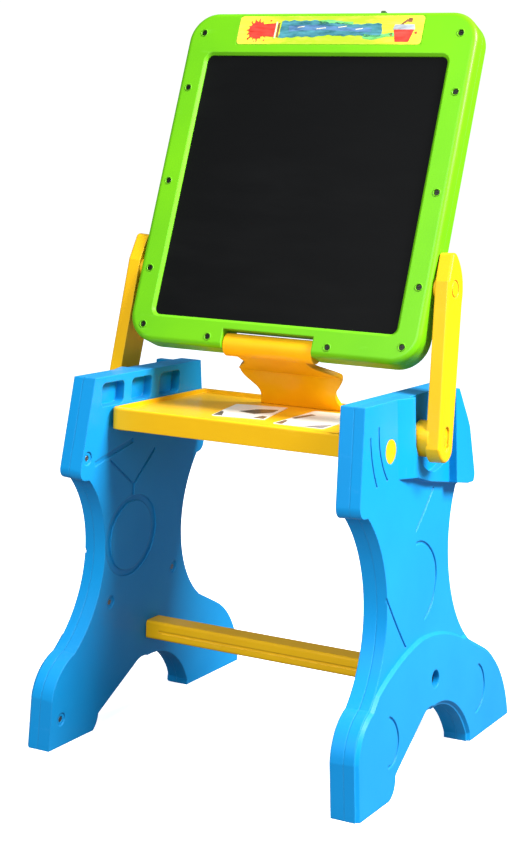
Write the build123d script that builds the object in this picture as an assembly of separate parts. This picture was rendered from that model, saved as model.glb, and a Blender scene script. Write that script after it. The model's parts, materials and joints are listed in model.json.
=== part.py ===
from build123d import *
import math
import os

# Child's drawing easel with arms that fold it into a desk. Millimetres, +Z up, front is -Y,
# origin on the floor under the middle of the four feet.

# Side legs (outline in the plane of the leg: y toward the back, w up the leg)
SPLAY = 3.66            # outward lean of each leg going down, degrees
FLOOR_HALF = 236.4      # outer face of a leg at the floor, from the middle
HEAD_TOP = 488.0        # top of the leg heads above the floor
LEG_T = 32.0            # thickness of a leg
SEAM_T = 14.0           # depth of the outer shell, the inner shell is the rest
WALL = 3.0              # wall of the moulded shells
FOOT_REACH = 250.0      # front and rear foot tips from the middle
HEAD_FRONT_Y = -204.0   # front edge of the head at its top
HEAD_REAR_Y = 60.0      # rear edge of the head at its top
HEAD_LOW_W = 359.0      # lowest line of the head
WAIST_W = 237.0         # height of the narrow waist of the leg
WAIST_FRONT_Y = -150.0
WAIST_REAR_Y = 46.0
ARCH_W = 79.0           # height of the arch between the feet
FOOT_BOSS = 4.5         # how far the foot stands proud of the leg

# Arm seat on the outside of each head
SEAT_PROUD = 9.5        # the head swells out around the seat
SEAT_FRONT_Y = -79.0
SEAT_REAR_Y = 26.0
SEAT_FLOOR_W = 405.0
STOP_PROUD = 20.0       # wall behind the arm

# Tray between the legs
TRAY_TOP = 447.0
TRAY_H = 28.0
TRAY_FRONT_Y = -167.0
TRAY_REAR_Y = 73.0
TRAY_RECESS = 6.0
TRAY_WALL = 5.0
TRAY_GAP = 0.35
TENON_D = 30.0
TENON_Y = -133.0
TENON_Z = 427.0
CARD_T = 0.6

# Crossbar between the legs
BAR_Y = -14.0
BAR_Z = 116.0
BAR_W = 36.0
BAR_H = 26.0
BAR_PEG_D = 15.0
BAR_HOLE_D = 24.0

# Arms
ARM_IN_X = FLOOR_HALF - 7.9   # inner face of an arm at its lower pivot
ARM_T = 19.0
ARM_LEN = 187.0         # between pivots
ARM_LEAN = 8.8          # degrees back from upright
ARM_W = 43.0
ARM_TIP = 45.0          # tip above the upper pivot
ARM_TAIL = 29.0         # end below the lower pivot
PIVOT_Y = -52.0
PIVOT_Z = 434.0
HUB_D = 46.0
HUB_IN_X = FLOOR_HALF - 25.2
PIN_D = 12.0
STUD_D = 14.0
STUD_IN = 14.0          # how far a stud reaches into an arm
RUN_FIT = 0.05          # radial clearance of the turning joints
FREE_FIT = 0.4          # radial clearance of the left upper pivot

# Board (x across, v up the board from its lower edge line, n toward the front face)
PIVOT_V = 118.0         # height of the tilt pivot up the board
TILT = 19.8             # degrees back from upright
BOARD_HALF_W = 212.0
BOARD_LOW = 13.0 - PIVOT_V
BOARD_HIGH = 479.0 - PIVOT_V
BOARD_T = 38.0
BOARD_R = 40.0
WIN_HALF_W = 176.7
WIN_LOW = 50.8 - PIVOT_V
WIN_HIGH = 418.0 - PIVOT_V
WIN_R = 9.0
RABBET = 5.0
PANEL_T = 3.0
FRONT_LIP = 5.0         # front face to black panel
BACK_LIP = 13.0         # rear face to white panel
LABEL_W = 271.0
LABEL_H = 40.0
LABEL_V = 453.0 - PIVOT_V
LABEL_T = 0.6

# Prop hinged in the lower edge of the board
NOTCH_HALF = 66.0
NOTCH_TOP = 38.3 - PIVOT_V
KNUCKLE_V = 22.0 - PIVOT_V
KNUCKLE_R = 15.0
PROP_PIN_D = 8.0
PROP_T = 7.0
PROP_WEB = 65.0         # flat part behind the knuckle
PROP_WEB_SLOPE = 23.4   # degrees it slopes down toward the back
PROP_LEG_SLOPE = 51.9   # the part standing in the tray
PROP_LEG = 80.0
PROP_FOOT_GAP = 0.4

HALF_T = BOARD_T / 2
SCREW_D = 7.0


def node(name, shape):
    shape.label = name
    export_step(shape, os.path.join("parts", name + ".step"))


def mirrored(shape):
    return mirror(shape, about=Plane.YZ)


def outer_x(z):
    """Outer face of the right leg at height z."""
    return FLOOR_HALF - z * math.tan(math.radians(SPLAY))


def inner_x(z):
    return outer_x(z) - LEG_T / math.cos(math.radians(SPLAY))


def seated(solid):
    """Carry a solid drawn flat (x = back, y = up the leg, z = outward) onto the right leg."""
    s = math.radians(SPLAY)
    at = Plane(origin=(FLOOR_HALF, 0, 0), x_dir=(0, 1, 0), z_dir=(math.cos(s), 0, math.sin(s)))
    moved = at.location * solid
    keep = Pos(FLOOR_HALF, 0, HEAD_TOP / 2) * Box(200, 900, HEAD_TOP)
    return moved & keep


def leg_outline():
    front_top = (HEAD_FRONT_Y + 2, HEAD_TOP + 14)
    front_low = (HEAD_FRONT_Y - 20, HEAD_LOW_W)
    rear_top = (HEAD_REAR_Y - 3, HEAD_TOP + 14)
    rear_low = (HEAD_REAR_Y + 30, HEAD_LOW_W + 1)
    with BuildSketch() as sk:
        with BuildLine():
            Line(front_top, front_low)
            Line(front_low, (-200, HEAD_LOW_W - 2))
            ThreePointArc((-200, HEAD_LOW_W - 2), (WAIST_FRONT_Y, WAIST_W), (-205, 125))
            ThreePointArc((-205, 125), (-238, 101), (-FOOT_REACH, 70))
            Line((-FOOT_REACH, 70), (-FOOT_REACH, -6))
            Line((-FOOT_REACH, -6), (-166, -6))
            ThreePointArc((-166, -6), (-146, 3), (-137, 24))
            Line((-137, 24), (-52, ARCH_W - 6))
            ThreePointArc((-52, ARCH_W - 6), (-36, ARCH_W), (-20, ARCH_W - 2))
            ThreePointArc((-20, ARCH_W - 2), (66, 50), (98, 10))
            Line((98, 10), (98, -6))
            Line((98, -6), (FOOT_REACH, -6))
            Line((FOOT_REACH, -6), (FOOT_REACH, 6))
            ThreePointArc((FOOT_REACH, 6), (228, 62), (165, 115))
            Line((165, 115), (112, 139))
            ThreePointArc((112, 139), (WAIST_REAR_Y, WAIST_W), (70, HEAD_LOW_W - 2))
            Line((70, HEAD_LOW_W - 2), rear_low)
            Line(rear_low, rear_top)
            Line(rear_top, front_top)
        make_face()
        corners = [front_low, rear_low]  # both lower corners of the head
        fillet([sk.vertices().sort_by_distance(Vector(c[0], c[1]))[0] for c in corners], 13)
    return sk.sketch


def cavity_outline(outline, posts):
    """Hollow of a shell: the outline less its wall, less the posts (y, w, radius)."""
    hollow = offset(outline, -WALL, kind=Kind.ARC)
    hollow &= Pos(0, (HEAD_TOP + 4) / 2) * Rectangle(900, HEAD_TOP - 14)
    for y, w, r in posts:
        hollow -= Pos(y, w) * Circle(r)
    return hollow


def leg_posts():
    pivot_w = PIVOT_Z / math.cos(math.radians(SPLAY))
    return [(PIVOT_Y, pivot_w, 13), (TENON_Y, TENON_Z, TENON_D / 2 + 4), (BAR_Y, BAR_Z, 20)] + [
        (y, w, 6) for y, w in screw_spots()
    ]


CREASES = [             # start, end, width of the creases in the inner face
    ((-92, 317), (-93, 338), 6.0), ((-94, 335), (-45, 379), 5.0), ((-92, 335), (-154, 377), 2.6),
    ((-190, 377), (-102, 398), 7.0),
]


def screw_spots():
    return [(-208, 387), (62, 388), (-128, 178), (30, 196), (-226, 40), (215, 40)]


def seat_block():
    """Swelling of the head around the arm seat, drawn flat, with the stop wall behind."""
    with BuildSketch(Plane.XZ) as sk:
        with BuildLine():
            Polyline((-112, 0), (SEAT_FRONT_Y - 6, SEAT_PROUD - 1), (SEAT_FRONT_Y, SEAT_PROUD),
                     (SEAT_REAR_Y, SEAT_PROUD), (SEAT_REAR_Y, STOP_PROUD),
                     (110, STOP_PROUD), (110, -2), (-112, -2), close=True)
        make_face()
    block = extrude(sk.sketch, amount=-600)
    with BuildSketch() as low:
        with BuildLine():
            Polyline((-120, 391), (-75, 388), (-33, 377), (62, HEAD_LOW_W + 2), (120, HEAD_LOW_W),
                     (92, 400), (66, 446), (38, 488), (30, 520), (-120, 520), close=True)
        make_face()
    return block & extrude(low.sketch, amount=60, both=True)


def seat_pocket():
    """Room for the arm hub, open outward and upward."""
    with BuildSketch() as sk:
        with BuildLine():
            Line((SEAT_FRONT_Y, 520), (SEAT_FRONT_Y, SEAT_FLOOR_W + 22))
            ThreePointArc((SEAT_FRONT_Y, SEAT_FLOOR_W + 22), (PIVOT_Y - 2, SEAT_FLOOR_W - 7),
                          (SEAT_REAR_Y, SEAT_FLOOR_W + 4))
            Line((SEAT_REAR_Y, SEAT_FLOOR_W + 4), (SEAT_REAR_Y, 520))
            Line((SEAT_REAR_Y, 520), (SEAT_FRONT_Y, 520))
        make_face()
    return extrude(sk.sketch, amount=60)


def foot_boss(outline):
    with BuildSketch() as sk:
        with BuildLine():
            Line((-270, 95), (-212, 127))
            ThreePointArc((-212, 127), (-150, 157), (-53, 180))
            ThreePointArc((-53, 180), (20, 172), (84, 150))
            Line((84, 150), (130, 150))
            Polyline((130, 150), (270, 150), (270, -20), (-270, -20), (-270, 95))
        make_face()
    boss = extrude(offset(outline, -1, kind=Kind.ARC) & sk.sketch, amount=FOOT_BOSS + 2, taper=32)
    if boss.bounding_box().min.Z < -1:
        boss = mirror(boss, about=Plane.XY)
    return Pos(0, 0, -2) * boss


def groove(points, width, depth, at):
    """Shallow groove along a smooth line in the face at height at."""
    with BuildLine() as line:
        Spline(*points)
    return Pos(0, 0, at - depth) * extrude(trace(line.line, width), amount=depth + 1)


def ring(y, w, half_y, half_w, width, depth, at):
    band = Ellipse(half_y, half_w) - Ellipse(half_y - width, half_w - width)
    return Pos(y, w, at - depth) * extrude(band, amount=depth + 1)


def leg_outer_shell():
    outline = leg_outline()
    body = Pos(0, 0, -SEAM_T) * extrude(outline, amount=SEAM_T)
    hollow = extrude(cavity_outline(outline, leg_posts()), amount=SEAM_T - WALL)
    body -= Pos(0, 0, -SEAM_T) * hollow
    body += foot_boss(outline)
    body += seat_block() & extrude(outline, amount=60)
    body -= seat_pocket()
    body -= groove([(-190, 452), (-186, 420), (-174, 390)], 3.0, 1.4, 0)
    body -= groove([(-166, 462), (-163, 428), (-144, 394)], 3.0, 1.4, 0)
    body -= groove([(-160, 264), (-136, 228), (-96, 176)], 3.2, 1.8, 0)
    body -= groove([(-3, 365), (-29, 342), (-61, 317)], 3.2, 1.6, 0)
    body -= groove([(-61, 301), (-20, 290), (1, 262), (0, 240), (-9, 221), (-39, 200)], 4.0, 1.8, 0)
    body -= groove([(-158, 104), (-141, 92), (-132, 70), (-139, 51), (-163, 43)], 4.0, 1.8, FOOT_BOSS)
    body -= groove([(135, 98), (154, 77), (155, 60), (145, 43), (123, 35)], 4.0, 1.8, FOOT_BOSS)
    for y, w in screw_spots():
        body -= Pos(y, w, -SEAM_T) * Cylinder(1.6, 18)
    solid = seated(body)
    recess = along_x(BAR_HOLE_D / 2, outer_x(BAR_Z) - 5, outer_x(BAR_Z) + 20, BAR_Y, BAR_Z)
    return solid - tenon_bore() - pin_bore() - bar_bore() - recess


def along_x(radius, x0, x1, y=0.0, z=0.0):
    """Round bar along X between x0 and x1."""
    return Pos((x0 + x1) / 2, y, z) * Rot(0, 90, 0) * Cylinder(radius, x1 - x0)


def tenon_bore():
    return along_x(TENON_D / 2 + 0.2, 150, 300, TENON_Y, TENON_Z)


def pin_bore():
    return along_x(PIN_D / 2, outer_x(PIVOT_Z) - SEAM_T + 1, 300, PIVOT_Y, PIVOT_Z)


def bar_bore():
    peg = along_x(BAR_PEG_D / 2 + 0.2, 150, inner_x(BAR_Z) + 7, BAR_Y, BAR_Z)
    return peg + along_x(2.6, 150, 300, BAR_Y, BAR_Z)


def pen_pockets():
    """Three pen pockets let into the inner face of the head."""
    cuts = []
    for y0, y1 in [(-186, -134), (-116, -66), (-46, 6)]:
        pocket = Pos((y0 + y1) / 2, 467, -LEG_T) * Box(y1 - y0, 31, 26)
        cuts.append(fillet(pocket.edges().filter_by(Axis.Z), 7))
    return cuts


def leg_inner_shell():
    outline = leg_outline()
    depth = LEG_T - SEAM_T
    body = Pos(0, 0, -LEG_T) * extrude(outline, amount=depth)
    hollow = cavity_outline(outline, leg_posts())
    hollow -= Pos(-84, 480) * Rectangle(208, 72)
    body -= Pos(0, 0, -LEG_T + WALL) * extrude(hollow, amount=depth - WALL)
    for pocket in pen_pockets():
        body -= pocket
    for start, end, width in CREASES:
        with BuildLine() as line:
            Line(start, end)
        body -= Pos(0, 0, -LEG_T - 1) * extrude(trace(line.line, width), amount=2.6)
    band = Ellipse(62, 56) - Ellipse(50, 48)
    body -= Pos(-88, 264, -LEG_T - 1) * extrude(band, amount=3.0)
    for y, w in screw_spots():
        body -= Pos(y, w, -LEG_T) * Cylinder(9, 3)
        body -= Pos(y, w, -LEG_T) * Cylinder(SCREW_D / 2 + 0.6, 8)
        body -= Pos(y, w, -LEG_T) * Cylinder(1.6, 60)
    return seated(body) - tenon_bore() - bar_bore()


def leg_screws():
    screws = []
    for y, w in screw_spots():
        head = Pos(y, w, -LEG_T + 2.8) * Cylinder(SCREW_D / 2, 2.2)
        shank = Pos(y, w, -LEG_T + 10) * Cylinder(1.5, 16)
        slot = Pos(y, w, -LEG_T + 1.6) * Box(SCREW_D - 2, 1.1, 1.2)
        screws.append(head + shank - slot)
    s = math.radians(SPLAY)
    at = Plane(origin=(FLOOR_HALF, 0, 0), x_dir=(0, 1, 0), z_dir=(math.cos(s), 0, math.sin(s)))
    return Compound([at.location * screw for screw in screws])


def tray():
    half = inner_x(TRAY_TOP) - TRAY_GAP
    depth = TRAY_REAR_Y - TRAY_FRONT_Y
    mid_y = (TRAY_REAR_Y + TRAY_FRONT_Y) / 2
    block = Pos(0, mid_y, TRAY_TOP - TRAY_H / 2) * Box(2 * half, depth, TRAY_H)
    front = block.edges().filter_by(Axis.Z).group_by(Axis.Y)[0]
    block = fillet(front, 14)
    rim = block.faces().sort_by(Axis.Z)[-1].edges()
    block = fillet(rim, 2.5)
    well = Pos(0, mid_y, TRAY_TOP - TRAY_RECESS / 2 + 5) * Box(
        2 * (half - TRAY_WALL), depth - 2 * TRAY_WALL - 6, TRAY_RECESS + 10)
    well = fillet(well.edges().filter_by(Axis.Z), 9)
    under = Pos(0, mid_y, TRAY_TOP - TRAY_H / 2 - TRAY_RECESS - WALL) * Box(
        2 * (half - WALL), depth - 2 * WALL, TRAY_H)
    under = fillet(under.edges().filter_by(Axis.Z), 10)
    shell = block - well - under
    for x in (-60, 60):
        shell += Pos(x, mid_y, TRAY_TOP - TRAY_RECESS - WALL - 5) * Box(3, depth - 8, 10.5)
    pad = Box(12, TENON_D + 8, TRAY_H - 8)
    for side in (-1, 1):
        tenon = along_x(TENON_D / 2, half - 8, outer_x(TENON_Z), TENON_Y, TENON_Z)
        web = Pos(half - 8, TENON_Y, TRAY_TOP - TRAY_H / 2 - 3) * pad
        shell += mirror_to(side, tenon + web)
    return shell


def mirror_to(side, shape):
    return shape if side > 0 else mirrored(shape)


def tray_card(x, y, w, d, turn):
    card = Pos(x, y, TRAY_TOP - TRAY_RECESS + CARD_T / 2) * Rot(0, 0, turn) * Box(w, d, CARD_T)
    return fillet(card.edges().filter_by(Axis.Z), 4)


def crossbar():
    half = inner_x(BAR_Z + BAR_H / 2) - 0.3
    bar = Pos(0, BAR_Y, BAR_Z) * Box(2 * half, BAR_W, BAR_H)
    bar = fillet(bar.edges().filter_by(Axis.X), 4)
    for side in (-1, 1):
        bar -= Pos(0, BAR_Y + side * BAR_W / 2, BAR_Z - 1) * Box(2 * half - 40, 2.4, 3.5)
        bar += mirror_to(side, along_x(BAR_PEG_D / 2, half - 2, inner_x(BAR_Z) + 6, BAR_Y, BAR_Z))
        bar -= mirror_to(side, along_x(2.5, half - 26, half + 30, BAR_Y, BAR_Z))
    return bar


def crossbar_screws():
    out = []
    x0 = outer_x(BAR_Z) - 5
    for side in (-1, 1):
        screw = along_x(9, x0, x0 + 3, BAR_Y, BAR_Z) + along_x(2.5, x0 - 46, x0, BAR_Y, BAR_Z)
        screw -= Pos(x0 + 3, BAR_Y, BAR_Z) * Box(2, 11, 1.8)
        screw -= Pos(x0 + 3, BAR_Y, BAR_Z) * Box(2, 1.8, 11)
        out.append(mirror_to(side, screw))
    return Compound(out)


def arm_place():
    return Pos(0, PIVOT_Y, PIVOT_Z) * Rot(-ARM_LEAN, 0, 0)


def upper_pivot():
    lean = math.radians(ARM_LEAN)
    return (PIVOT_Y + ARM_LEN * math.sin(lean), PIVOT_Z + ARM_LEN * math.cos(lean))


def arm_outline():
    """Outline in y, z with the lower pivot at the origin."""
    h = ARM_W / 2
    top = ARM_LEN + ARM_TIP
    low = -ARM_TAIL + 16
    with BuildSketch(Plane.YZ) as sk:
        with BuildLine():
            Line((-h + 6, ARM_LEN + 8), (-h, low))
            ThreePointArc((-h, low), (0, -ARM_TAIL), (h, low))
            Line((h, low), (h + 9, ARM_LEN - 15))
            ThreePointArc((h + 9, ARM_LEN - 15), (h + 3, top - 19), (6, top - 1))
            ThreePointArc((6, top - 1), (0, top), (-5, top - 3))
            Line((-5, top - 3), (-h + 6, ARM_LEN + 8))
        make_face()
    return sk.sketch


def arm(upper_gap):
    outline = arm_outline()
    bar = extrude(outline, amount=ARM_T)
    bar = fillet(bar.faces().sort_by(Axis.X)[-1].edges(), 3.5)
    cap = Plane.YZ.location * Pos(4, ARM_LEN) * (Circle(11.5) - Circle(9.5))
    bar -= Pos(ARM_T - 1, 0, 0) * extrude(cap, amount=3)
    bar -= Pos(ARM_T, 0, 0) * Plane.YZ.location * extrude(SlotOverall(32, 14, rotation=90), amount=2.5, both=True)
    bar = Pos(ARM_IN_X, 0, 0) * Rot(0, -SPLAY, 0) * bar
    bar += along_x(HUB_D / 2, HUB_IN_X, ARM_IN_X + 3)
    bar += along_x(13, BOARD_HALF_W + 0.8, upper_in_x() + 3, 0, ARM_LEN)
    bar -= along_x(PIN_D / 2 + RUN_FIT, 100, 300)
    bar -= along_x(STUD_D / 2 + upper_gap, 100, upper_in_x() + STUD_IN + 1, 0, ARM_LEN)
    return arm_place() * bar


def upper_in_x():
    """Inner face of an arm at its upper pivot: the arm leans inward like the leg."""
    return ARM_IN_X - ARM_LEN * math.tan(math.radians(SPLAY))


def arm_pin():
    """Lower pivot pin, fixed in the leg, its end showing in the slot of the arm."""
    root = outer_x(PIVOT_Z) - SEAM_T + 1
    end = ARM_IN_X + ARM_T - 1.5
    pin = along_x(PIN_D / 2, root, end, PIVOT_Y, PIVOT_Z)
    return chamfer(pin.faces().sort_by(Axis.X)[-1].edges(), 0.8)


def tilt_stud():
    y, z = upper_pivot()
    stud = along_x(STUD_D / 2, BOARD_HALF_W - 14, upper_in_x() + STUD_IN, y, z)
    return stud


def on_board(solid):
    """Carry a solid drawn flat (x across, y up the board, z toward the front) onto the easel."""
    y, z = upper_pivot()
    t = math.radians(TILT)
    at = Plane(origin=(0, y, z), x_dir=(1, 0, 0), z_dir=(0, -math.cos(t), math.sin(t)))
    return at.location * solid


def board_sketch(inset=0.0):
    mid = (BOARD_LOW + BOARD_HIGH) / 2
    return Pos(0, mid) * RectangleRounded(
        2 * (BOARD_HALF_W - inset), BOARD_HIGH - BOARD_LOW - 2 * inset, BOARD_R - inset)


def window_sketch(grow=0.0):
    mid = (WIN_LOW + WIN_HIGH) / 2
    return Pos(0, mid) * RectangleRounded(
        2 * (WIN_HALF_W + grow), WIN_HIGH - WIN_LOW + 2 * grow, WIN_R)


def notch_sketch(top):
    low = BOARD_LOW - 20
    return Pos(0, (top + low) / 2) * Rectangle(2 * NOTCH_HALF, top - low)


def frame_spots():
    corner = [(s * 188.6, v) for s in (-1, 1) for v in (34.9 - PIVOT_V, 449.3 - PIVOT_V)]
    side = [(s * 196.3, v - PIVOT_V) for s in (-1, 1) for v in (112.7, 236.2, 369.9)]
    low = [(s * 87.4, 25.8 - PIVOT_V) for s in (-1, 1)]
    return corner + side + low


def frame_hollow():
    hollow = board_sketch(WALL) - window_sketch(RABBET + WALL)
    hollow -= Pos(0, KNUCKLE_V) * Rectangle(2 * NOTCH_HALF + 34, 60)
    for x, v in frame_spots():
        hollow -= Pos(x, v) * Circle(5)
    for side in (-1, 1):
        hollow -= Pos(side * (BOARD_HALF_W - 10), 0) * Rectangle(24, 30)
    return hollow


def board_front():
    body = extrude(board_sketch(), amount=HALF_T)
    body = fillet(body.faces().sort_by(Axis.Z)[-1].edges(), 7)
    body -= extrude(window_sketch(), amount=BOARD_T)
    lip = body.faces().filter_by(Plane.XY).sort_by(Axis.Z)[-1].inner_wires()[0].edges()
    body = chamfer(lip, 3.5)
    body -= extrude(window_sketch(RABBET), amount=HALF_T - FRONT_LIP)
    body -= extrude(frame_hollow(), amount=HALF_T - WALL)
    body -= extrude(notch_sketch(NOTCH_TOP), amount=BOARD_T)
    for x, v in frame_spots():
        body -= Pos(x, v, HALF_T - 1) * Cylinder(SCREW_D / 2 + 0.6, 4)
        body -= Pos(x, v, 0) * Cylinder(1.6, BOARD_T)
    body -= Pos(0, LABEL_V, HALF_T) * Box(LABEL_W + 1, LABEL_H + 1, 0.8)
    body -= board_bores()
    return on_board(body)


def board_bores():
    stud = Rot(0, 90, 0) * Cylinder(STUD_D / 2, 2 * BOARD_HALF_W + 10)
    core = Box(2 * BOARD_HALF_W - 28, 60, 60)
    pin = Pos(0, KNUCKLE_V, 0) * Rot(0, 90, 0) * Cylinder(PROP_PIN_D / 2, 2 * NOTCH_HALF + 26)
    return (stud - core) + pin


def board_back():
    body = Pos(0, 0, -HALF_T) * extrude(board_sketch(), amount=HALF_T)
    body = fillet(body.faces().sort_by(Axis.Z)[0].edges(), 5)
    body -= Pos(0, 0, -BOARD_T) * extrude(window_sketch(), amount=BOARD_T)
    depth = HALF_T - BACK_LIP
    body -= Pos(0, 0, -depth) * extrude(window_sketch(RABBET), amount=depth)
    body -= Pos(0, 0, -HALF_T + WALL) * extrude(frame_hollow(), amount=HALF_T - WALL)
    body -= Pos(0, 0, -BOARD_T) * extrude(notch_sketch(WIN_LOW + 4), amount=BOARD_T)
    for x, v in frame_spots():
        body -= Pos(x, v, 0) * Cylinder(1.6, 24)
    body -= board_bores()
    return on_board(body)


def drawing_panel():
    panel = extrude(window_sketch(RABBET - 0.3), amount=PANEL_T)
    return on_board(Pos(0, 0, HALF_T - FRONT_LIP - PANEL_T) * panel)


def rear_panel():
    panel = extrude(window_sketch(RABBET - 0.3), amount=PANEL_T)
    return on_board(Pos(0, 0, -HALF_T + BACK_LIP) * panel)


def frame_screws():
    screws = []
    for x, v in frame_spots():
        head = Pos(x, v, HALF_T - 2) * Cylinder(SCREW_D / 2, 2)
        shank = Pos(x, v, HALF_T - 13) * Cylinder(1.5, 20)
        slot = Pos(x, v, HALF_T - 1.2) * Box(SCREW_D - 2, 1.1, 0.8)
        screws.append(on_board(head + shank - slot))
    return Compound(screws)


def header_label():
    sheet = Pos(0, LABEL_V, HALF_T - 0.4 + LABEL_T / 2) * Box(LABEL_W, LABEL_H, LABEL_T)
    return on_board(fillet(sheet.edges().filter_by(Axis.Z), 5))


def prop_pin():
    return on_board(Pos(0, KNUCKLE_V, 0) * Rot(0, 90, 0) * Cylinder(PROP_PIN_D / 2, 2 * NOTCH_HALF + 24))


def knuckle_point():
    y, z = upper_pivot()
    t = math.radians(TILT)
    return (y + KNUCKLE_V * math.sin(t), z + KNUCKLE_V * math.cos(t))


def prop_outline():
    """Wavy sides seen square on to the standing part, y up from its foot."""
    side = [(63, -20), (63, 0), (57, 30), (70, 50), (75, 66), (62, 84), (50, 98)]
    with BuildSketch() as sk:
        with BuildLine():
            Spline(*side)
            Line((50, 98), (50, 150))
            Line((50, 150), (-50, 150))
            Line((-50, 150), (-50, 98))
            Spline(*[(-x, y) for x, y in reversed(side)])
            Line((-63, -20), (63, -20))
        make_face()
    return sk.sketch


def plate_between(start, end):
    """Wide plate seen edge on between two y, z points."""
    dy, dz = end[0] - start[0], end[1] - start[1]
    tilt = Rot(math.degrees(math.atan2(dz, dy)), 0, 0)
    mid = Pos(0, (start[0] + end[0]) / 2, (start[1] + end[1]) / 2)
    return mid * tilt * Box(180, math.hypot(dy, dz), PROP_T)


def prop():
    ky, kz = knuckle_point()
    web = math.radians(PROP_WEB_SLOPE)
    leg = math.radians(PROP_LEG_SLOPE)
    drop = KNUCKLE_R - PROP_T / 2 - 1
    sy, sz = ky - drop * math.sin(web), kz - drop * math.cos(web)
    cy, cz = sy + PROP_WEB * math.cos(web), sz - PROP_WEB * math.sin(web)
    by, bz = cy + PROP_LEG * math.cos(leg), cz - PROP_LEG * math.sin(leg)
    slab = plate_between((sy, sz), (cy, cz)) + plate_between((cy, cz), (by, bz))
    slab += along_x(PROP_T / 2, -90, 90, cy, cz)
    foot_z = TRAY_TOP - TRAY_RECESS + PROP_FOOT_GAP
    foot_y = cy + (cz - foot_z) / math.tan(leg)
    at = Plane(origin=(0, foot_y, foot_z), x_dir=(1, 0, 0), z_dir=(0, -math.sin(leg), -math.cos(leg)))
    slab &= at.location * extrude(prop_outline(), amount=90, both=True)
    body = slab + along_x(KNUCKLE_R, -NOTCH_HALF + 1, NOTCH_HALF - 1, ky, kz)
    body -= along_x(PROP_PIN_D / 2 + RUN_FIT, -100, 100, ky, kz)
    return body - Pos(0, foot_y, foot_z - 50) * Box(300, 200, 100)


def top_nib():
    """Small dark hook on the top edge of the board."""
    nib = Pos(69, BOARD_HIGH + 3, 4) * Box(7, 6, 7)
    return on_board(fillet(nib.edges().filter_by(Axis.Z), 1.5))


def main():
    os.makedirs("parts", exist_ok=True)
    outer = leg_outer_shell()
    inner = leg_inner_shell()
    node("right_leg_outer_shell", outer)
    node("left_leg_outer_shell", mirrored(outer))
    node("right_leg_inner_shell", inner)
    node("left_leg_inner_shell", mirrored(inner))
    screws = leg_screws()
    node("right_leg_screws", screws)
    node("left_leg_screws", mirrored(screws))
    node("desk_tray", tray())
    node("tray_card_left", tray_card(-34, -46, 72, 112, 12))
    node("tray_card_right", tray_card(68, -48, 70, 130, 2))
    node("crossbar", crossbar())
    node("crossbar_screws", crossbar_screws())
    pin = arm_pin()
    node("right_arm_pin", pin)
    node("left_arm_pin", mirrored(pin))
    node("right_arm", arm(RUN_FIT))
    node("left_arm", mirrored(arm(FREE_FIT)))
    stud = tilt_stud()
    node("right_tilt_stud", stud)
    node("left_tilt_stud", mirrored(stud))
    node("board_front_frame", board_front())
    node("board_back_frame", board_back())
    node("drawing_panel", drawing_panel())
    node("rear_panel", rear_panel())
    node("frame_screws", frame_screws())
    node("header_label", header_label())
    node("top_nib", top_nib())
    node("prop_hinge_pin", prop_pin())
    node("prop", prop())


main()
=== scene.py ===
"""Looks of a child's folding drawing easel, built as a Blender add-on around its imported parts."""

import json
import math
import random

import bmesh
import bpy
from bpy.props import FloatProperty, FloatVectorProperty, PointerProperty
from mathutils import Matrix, Vector


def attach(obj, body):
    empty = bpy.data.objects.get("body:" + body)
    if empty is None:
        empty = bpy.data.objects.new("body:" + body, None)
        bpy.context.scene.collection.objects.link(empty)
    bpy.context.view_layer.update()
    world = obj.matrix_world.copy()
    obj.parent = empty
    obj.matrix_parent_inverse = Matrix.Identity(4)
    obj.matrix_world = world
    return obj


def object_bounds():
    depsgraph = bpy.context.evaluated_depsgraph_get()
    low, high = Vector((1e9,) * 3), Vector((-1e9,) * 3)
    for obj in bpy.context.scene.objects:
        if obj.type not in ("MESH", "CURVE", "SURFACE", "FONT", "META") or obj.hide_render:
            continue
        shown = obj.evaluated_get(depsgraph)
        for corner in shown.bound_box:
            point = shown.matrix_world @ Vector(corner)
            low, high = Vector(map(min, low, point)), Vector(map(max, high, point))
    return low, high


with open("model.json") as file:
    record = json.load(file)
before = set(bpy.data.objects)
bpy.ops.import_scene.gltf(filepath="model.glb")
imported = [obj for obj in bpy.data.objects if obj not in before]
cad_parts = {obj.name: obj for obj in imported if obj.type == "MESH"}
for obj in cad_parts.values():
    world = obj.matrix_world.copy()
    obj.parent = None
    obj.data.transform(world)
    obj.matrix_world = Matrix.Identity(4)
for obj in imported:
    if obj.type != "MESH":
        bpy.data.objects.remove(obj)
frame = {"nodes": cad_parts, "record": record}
CAD_BOX = [list(corner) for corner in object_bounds()]

bl_info = {
    "name": "Drawing easel looks",
    "version": (1, 0, 0),
    "blender": (4, 5, 0),
    "location": "3D View > Sidebar > Easel",
    "description": "Plastics, printed label, cards and studio for a folding drawing easel",
    "category": "Object",
}

MM = 0.001
BOARD_FRONT = 19.0 * MM       # front face of the board, from its middle plane
LABEL_LIFT = 0.3 * MM         # the print's underside lies this far out, inside the label
SCREW_SPOTS = [               # across the board and up from its tilt pivot, in mm
    (188.6, -83.1), (188.6, 331.3), (196.3, -5.3), (196.3, 118.2), (196.3, 251.9), (87.4, -92.2),
]


# Dull and bright tone of each metal and of the dark nib
ZINC = (0.16, 0.165, 0.17), (0.30, 0.31, 0.31)
BRONZE = (0.045, 0.030, 0.006), (0.085, 0.060, 0.020)
DARK_METAL = (0.018, 0.022, 0.016), (0.05, 0.055, 0.045)
NIB = (0.05, 0.10, 0.03), (0.03, 0.07, 0.02)

# Place of each card in the tray: across, back, and its turn in degrees
CARD_LEFT = -34 * MM, -46 * MM, 12
CARD_RIGHT = 68 * MM, -48 * MM, 2

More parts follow.
